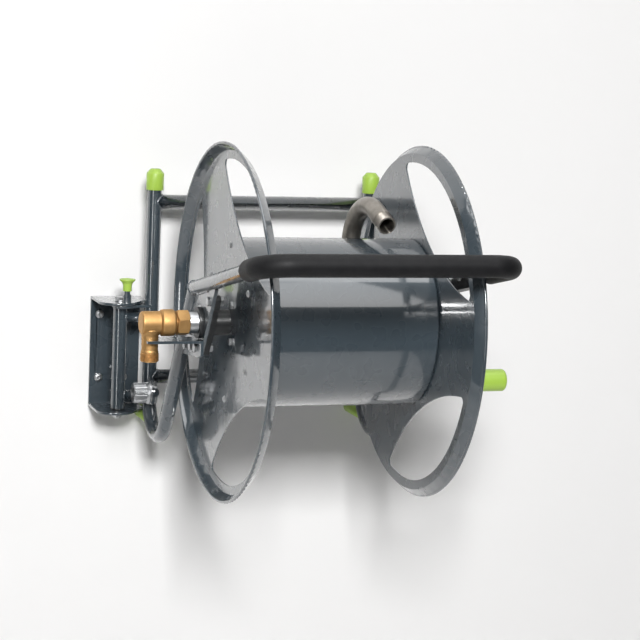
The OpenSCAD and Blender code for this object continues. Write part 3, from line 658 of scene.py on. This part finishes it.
def cast_elbow():
    """Body and leg grown together into one casting."""
    body_profile = (
        [(AXIS_R, ELBOW_LEFT)]
        + fillet(CAST_ROUND, -90, 0, ELBOW_BODY_R - CAST_ROUND, ELBOW_LEFT + CAST_ROUND)
        + [(ELBOW_BODY_R, COLLAR_LEFT), (AXIS_R, COLLAR_LEFT)]
    )
    # The leg widens below into the thread's shoulder and above into the body
    leg_r = ELBOW_LEG_R
    leg_profile = [
        (AXIS_R, THREAD_TOP), (leg_r + 0.5, THREAD_TOP), (leg_r + 0.5, THREAD_TOP + 1.5),
        (leg_r - 0.3, THREAD_TOP + 3), (leg_r - 0.1, -24), (leg_r + 0.2, -18),
        (leg_r + 1.4, -13.5), (leg_r + 2.6, -10), (AXIS_R, -6),
    ]
    body = lathe("elbow_body", body_profile, ALONG_X)
    leg = lathe("elbow_leg", leg_profile, DOWN_LEG)
    casting = join("elbow_casting", [body, leg])
    remesh = casting.modifiers.new("grow", "REMESH")
    remesh.mode = "VOXEL"
    remesh.voxel_size = CAST_VOXEL * MM
    applied(casting)
    smooth = casting.modifiers.new("soften", "SMOOTH")
    smooth.factor = 0.5
    smooth.iterations = 5
    applied(casting)
    casting.data.shade_smooth()
    return casting


def thread_profile(r, depth, low, high):
    """Crests and roots from one height to another, with a lead-in at each end."""
    root, crest = r - depth, r - CREST_CUT
    form = ((root, 0.1), (crest, 0.42), (crest, 0.58), (root, 0.9))
    profile = [(root, low)]
    for k in range(int((high - low - 2 * LEAD_IN) / THREAD_PITCH)):
        base = low + LEAD_IN + k * THREAD_PITCH
        profile += [(radius, base + share * THREAD_PITCH) for radius, share in form]
    return profile + [(root, high)]


add(cast_elbow(), "frame", "brass", "inlet_elbow")

bottom = THREAD_TOP - INLET_LEN
inlet_profile = (
    [(ELBOW_BORE_R, -8.0), (ELBOW_BORE_R, bottom), (ELBOW_BORE_R + 1.0, bottom),
     (INLET_R - 1.6, bottom)]
    + thread_profile(INLET_R, INLET_DEPTH, bottom + 0.4, THREAD_TOP)
    + [(INLET_R - INLET_DEPTH, THREAD_TOP + 0.2), (ELBOW_BORE_R + 0.6, THREAD_TOP + 0.4)]
)
add(lathe("inlet_thread", inlet_profile, DOWN_LEG, sharp=25.0), "frame", "brass")

spigot_profile = [
    (ELBOW_BORE_R, COLLAR_LEFT), (SPIGOT_R, COLLAR_LEFT), (SPIGOT_R, AXLE_END - 0.5),
    (ELBOW_BORE_R, AXLE_END - 0.5), (ELBOW_BORE_R, COLLAR_LEFT),
]
add(lathe("inlet_spigot", spigot_profile, ALONG_X), "frame", "brass")

nut_place = (
    Matrix.Translation(at(NUT_LEFT, 0, 0))
    @ Matrix.Rotation(math.radians(90), 4, "Y")
    @ Matrix.Rotation(math.radians(NUT_TURN), 4, "Z")
)
nut = turned_hex(
    "union_hex", NUT_R, SPIGOT_R + 0.05, NUT_RIGHT - NUT_LEFT, NUT_CHAMFER, nut_place
)
add(nut, "drum", "brass", "union_nut")

# Thread on the outlet pipe's open end

heading = Matrix.Rotation(math.radians(OUTLET_HEADING), 4, "Z")
mouth_turn = math.radians(90 + PIPE_END_ANGLE)
forward = heading @ Vector((0, -1, 0))
mouth_dir = forward * math.sin(mouth_turn) + Vector((0, 0, 1)) * math.cos(mouth_turn)
centre = at(*OUTLET) + forward * PIPE_BEND_R * MM
ray = -forward * math.cos(mouth_turn) + Vector((0, 0, 1)) * math.sin(mouth_turn)
mouth = centre + ray * PIPE_BEND_R * MM + mouth_dir * OUTLET_STRAIGHT * MM
outlet_profile = thread_profile(PIPE_R, OUTLET_DEPTH, 0.3, OUTLET_THREAD)
outlet_thread = lathe("outlet_thread", outlet_profile, along(-mouth_dir, mouth), sharp=25.0)
add(outlet_thread, "drum", "raw_steel")

# Camera


def aim_camera():
    a, e, r = (math.radians(v) for v in (CAMERA_AZIMUTH, CAMERA_ELEVATION, CAMERA_ROLL))
    back = Vector((-math.sin(a) * math.cos(e), -math.cos(a) * math.cos(e), math.sin(e)))
    right = (-back).cross(Vector((0, 0, 1))).normalized()
    up = right.cross(-back)
    rolled_right = right * math.cos(r) + up * math.sin(r)
    rolled_up = up * math.cos(r) - right * math.sin(r)
    camera = linked("camera", bpy.data.cameras.new("camera"))
    camera.data.sensor_width = SENSOR_MM
    camera.data.lens = FOCAL_PIXELS / FRAME_PIXELS * SENSOR_MM
    turn = Matrix((rolled_right, rolled_up, back)).transposed().to_4x4()
    camera.matrix_world = Matrix.Translation(at(*AIM) + back * CAMERA_DISTANCE) @ turn
    bpy.context.scene.camera = camera


aim_camera()

# Room: a pale wall that curves into a pale floor, in metres

WALL_Y = 0.001
WALL_TOP = 3.0
FLOOR_Z = -1.9
FLOOR_FRONT = -3.5
ROOM_HALF = 3.5
COVE_R = 0.35
COVE_STEPS = 16
WALL_COLOUR = (0.86, 0.855, 0.85, 1)
WALL_GLOW = 0.02


def room():
    profile = [(FLOOR_FRONT, FLOOR_Z), (WALL_Y - COVE_R, FLOOR_Z)]
    for k in range(1, COVE_STEPS + 1):
        a = math.pi / 2 * k / COVE_STEPS
        y = WALL_Y - COVE_R + COVE_R * math.sin(a)
        profile.append((y, FLOOR_Z + COVE_R * (1 - math.cos(a))))
    profile.append((WALL_Y, WALL_TOP))
    verts = [(x, y, z) for y, z in profile for x in (-ROOM_HALF, ROOM_HALF)]
    mesh = bpy.data.meshes.new("room")
    mesh.from_pydata(verts, [], grid_faces(len(profile), 2, close_columns=False))
    mesh.shade_smooth()
    if mesh.polygons[-1].normal.y > 0:
        mesh.flip_normals()
    return linked("room", mesh)


def room_material():
    """Pale and matt, a little brighter to the camera and in reflections, clear from behind."""
    material = bpy.data.materials.new("pale_room")
    material.use_nodes = True
    material.node_tree.nodes.clear()
    n = Nodes(material.node_tree)
    path = n.node("ShaderNodeLightPath").outputs
    seen = n.math("MAXIMUM", path["Is Camera Ray"], path["Is Glossy Ray"])
    seen = n.math("MAXIMUM", seen, path["Is Transmission Ray"])
    amount = n.math("MULTIPLY", seen, WALL_GLOW)
    glow = n.node("ShaderNodeEmission", {"Color": (1, 1, 1, 1), "Strength": amount})
    diffuse = n.node("ShaderNodeBsdfDiffuse", {"Color": WALL_COLOUR})
    both = n.node("ShaderNodeAddShader", {0: diffuse.outputs[0], 1: glow.outputs[0]})
    clear = n.node("ShaderNodeBsdfTransparent")
    behind = n.node("ShaderNodeNewGeometry").outputs["Backfacing"]
    side = n.node("ShaderNodeMixShader", {0: behind, 1: both.outputs[0], 2: clear.outputs[0]})
    n.node("ShaderNodeOutputMaterial", {"Surface": side.outputs[0]})
    return material


backdrop = room()
backdrop.data.materials.append(room_material())

# Lights: direction from the drum, then distance, width and height in metres, and watts


def softbox(name, direction, distance, width, height, power):
    """A rectangular lamp seen from the drum in a direction, facing the drum."""
    data = bpy.data.lights.new(name, "AREA")
    data.shape = "RECTANGLE"
    data.size, data.size_y = width, height
    data.energy = power
    lamp = linked(name, data)
    back = Vector(direction).normalized()
    lamp.matrix_world = along(back, AXLE + back * distance)
    return lamp


def card(name, direction, distance, width, height, power):
    """A lamp that only shows in glossy surfaces, as a white card beside the set does."""
    softbox(name, direction, distance, width, height, power).visible_diffuse = False


softbox("key", (-0.21, -0.885, 0.415), 4.2, 1.0, 0.9, 212.0)
card("front_card", (0.22, -0.72, 0.66), 2.4, 1.0, 1.6, 13.0)
card("top_card", (0.0, -0.25, 1.0), 1.4, 2.0, 0.7, 14.0)
card("left_card", (-0.72, -0.70, 0.12), 2.4, 0.16, 1.9, 12.0)

# The dim room around, from straight down at 0 to straight up at 1, and a touch of blue in it
SKY = ((0.0, 0.02), (0.42, 0.015), (0.55, 0.015), (0.72, 0.03), (1.0, 0.06))
SKY_BLUE = 1.02


def world():
    made = bpy.data.worlds.new("studio")
    bpy.context.scene.world = made
    made.use_nodes = True
    n = Nodes(made.node_tree)
    place = n.node("ShaderNodeTexCoord").outputs["Generated"]
    split = n.node("ShaderNodeSeparateXYZ", {0: place})
    ends = {"From Min": -1.0, "From Max": 1.0}
    height = n.node("ShaderNodeMapRange", {"Value": split.outputs["Z"], **ends})
    stops = [(position, (level, level, level * SKY_BLUE)) for position, level in SKY]
    background = n.tree.nodes["Background"]
    n.plug(n.ramp(height.outputs["Result"], stops), background.inputs["Color"])
    background.inputs["Strength"].default_value = 1.0


world()
bpy.context.scene.view_settings.view_transform = "Standard"
